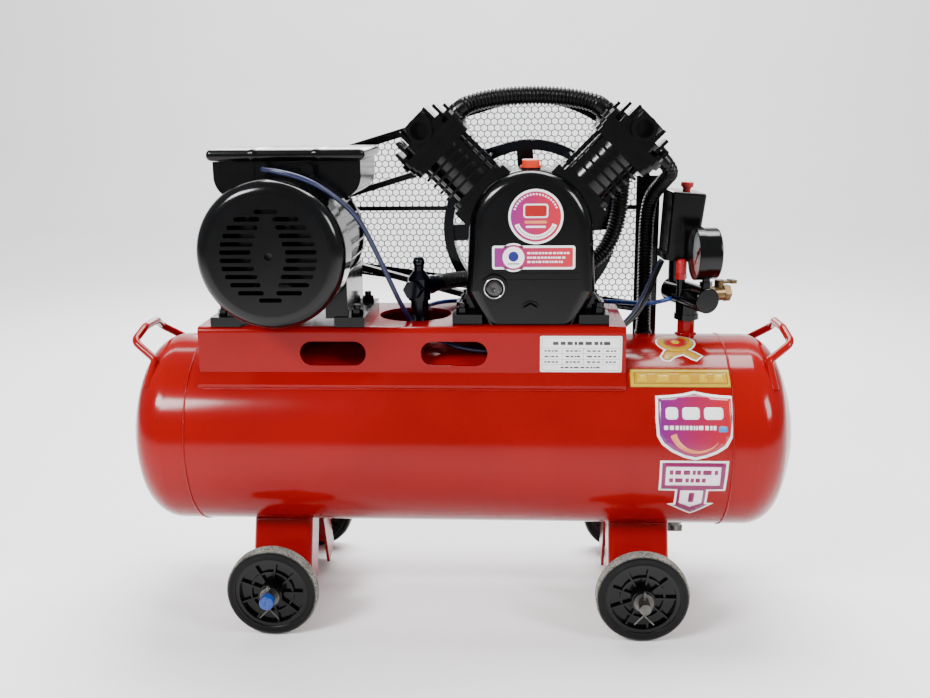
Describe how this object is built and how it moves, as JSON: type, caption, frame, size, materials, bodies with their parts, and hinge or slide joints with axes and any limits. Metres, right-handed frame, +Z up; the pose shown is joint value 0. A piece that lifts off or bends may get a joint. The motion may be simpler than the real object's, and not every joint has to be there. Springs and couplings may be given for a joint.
{
  "type": "wheeled belt-driven air compressor",
  "caption": "Wheeled piston air compressor: twin cylinder belt-driven pump and electric motor on a horizontal receiver with gauge, switch and guard.",
  "frame": {"origin": "on the floor, under the middle of the tank, at the centre of the bounding box's base", "axes": "+X along the tank towards the gauge and pressure switch, +Y away from the operating side towards the belt drive, +Z up"},
  "size_m": [0.862, 0.34, 0.6789],
  "materials": {
    "red_steel": "gloss",
    "black_enamel": "gloss",
    "navy_enamel": "gloss",
    "plain_steel": "satin",
    "brass_fitting": "satin",
    "black_plastic": "satin",
    "blue_plastic": "gloss",
    "red_plastic": "gloss",
    "orange_plastic": "gloss",
    "black_rubber": "matte",
    "tyre_rubber": "matte",
    "navy_cable": "satin",
    "clear_glass": "gloss",
    "cast_metal": "matte",
    "alloy": "satin",
    "mesh_wire": "satin"
  },
  "bodies": {
    "receiver": {"tank_shell": "red_steel", "dished_ends": "red_steel", "platform": "red_steel", "support_legs": "red_steel", "axles": "plain_steel", "axle_fasteners": "plain_steel", "axle_cap": "blue_plastic", "carrying_handles": "red_steel", "drain_cock_body": "plain_steel", "manifold": "black_enamel", "safety_valve": "red_plastic", "outlet_valve_body": "brass_fitting", "gauge_case": "black_enamel", "gauge_lens": "clear_glass", "pressure_switch_base": "black_enamel", "pressure_switch_cover": "black_plastic", "motor_housing": "black_enamel", "motor_stator": "cast_metal", "fan_cowl": "black_enamel", "terminal_box": "black_plastic", "terminal_box_lid": "black_plastic", "crankcase": "black_enamel", "oil_sight_glass": "black_plastic", "crankcase_drain_plug": "black_enamel", "left_cylinder": "black_enamel", "right_cylinder": "black_enamel", "left_head": "black_enamel", "right_head": "black_enamel", "head_bolts": "black_enamel", "pistons": "alloy", "connecting_rods": "alloy", "crank_throw": "cast_metal", "drive_belt": "black_rubber", "belt_guard_frame": "black_enamel", "belt_guard_mesh": "mesh_wire", "hold_down_bolts": "black_enamel", "check_valve": "navy_enamel", "crossover_hose": "black_rubber", "discharge_hose": "black_rubber", "tank_inlet_hose": "black_rubber", "unloader_tube": "blue_plastic", "electric_leads": "navy_cable"},
    "crank_drive": {"crankshaft": "plain_steel", "flywheel": "navy_enamel"},
    "motor_drive": {"motor_rotor": "plain_steel", "motor_pulley": "cast_metal", "cooling_fan": "black_plastic"},
    "switch_button": {"switch_knob": "red_plastic"},
    "outlet_lever": {"valve_lever": "brass_fitting"},
    "needle": {"gauge_needle": "red_plastic"},
    "drain_handle": {"drain_tap": "plain_steel"},
    "filler_cap": {"oil_filler_cap": "orange_plastic"},
    "front_left_wheel": {"front_left_hub": "black_plastic", "front_left_tyre": "tyre_rubber"},
    "front_right_wheel": {"front_right_hub": "black_plastic", "front_right_tyre": "tyre_rubber"},
    "rear_left_wheel": {"rear_left_hub": "black_plastic", "rear_left_tyre": "tyre_rubber"},
    "rear_right_wheel": {"rear_right_hub": "black_plastic", "rear_right_tyre": "tyre_rubber"}
  },
  "joints": [
    {"name": "front_left_roll", "type": "hinge", "parent": "receiver", "child": "front_left_wheel", "pos_m": [-0.233, -0.1335, 0.0585], "axis": [0, 1, 0], "continuous": true},
    {"name": "front_right_roll", "type": "hinge", "parent": "receiver", "child": "front_right_wheel", "pos_m": [0.233, -0.1335, 0.0585], "axis": [0, 1, 0], "continuous": true},
    {"name": "rear_left_roll", "type": "hinge", "parent": "receiver", "child": "rear_left_wheel", "pos_m": [-0.233, 0.1335, 0.0585], "axis": [0, 1, 0], "continuous": true},
    {"name": "rear_right_roll", "type": "hinge", "parent": "receiver", "child": "rear_right_wheel", "pos_m": [0.233, 0.1335, 0.0585], "axis": [0, 1, 0], "continuous": true},
    {"name": "flywheel_spin", "type": "hinge", "parent": "receiver", "child": "crank_drive", "pos_m": [0.093, 0.1, 0.492], "axis": [0, 1, 0], "continuous": true},
    {"name": "motor_spin", "type": "hinge", "parent": "receiver", "child": "motor_drive", "pos_m": [-0.209, 0.1, 0.489], "axis": [0, 1, 0], "continuous": true},
    {"name": "switch_button_pull", "type": "slide", "parent": "receiver", "child": "switch_button", "axis": [0.0872, 0, 0.9962], "range_m": [0, 0.005]},
    {"name": "outlet_lever_turn", "type": "hinge", "parent": "receiver", "child": "outlet_lever", "pos_m": [0.34008, 0.02658, 0.4245], "axis": [0, 0, 1], "range_deg": [-90, 0]},
    {"name": "needle_sweep", "type": "hinge", "parent": "receiver", "child": "needle", "pos_m": [0.312, -0.023, 0.4722], "axis": [0.9962, 0.0872, 0], "range_deg": [0, 270]},
    {"name": "drain_handle_turn", "type": "hinge", "parent": "receiver", "child": "drain_handle", "pos_m": [0.29, 0, 0.095], "axis": [0, 0, 1], "range_deg": [0, 90]},
    {"name": "filler_cap_lift", "type": "slide", "parent": "receiver", "child": "filler_cap", "axis": [0, 0, 1], "range_m": [0, 0.025]}
  ],
  "couplings": [
    {"joint": "motor_spin", "follows": "flywheel_spin", "ratio": 3.5938}
  ]
}
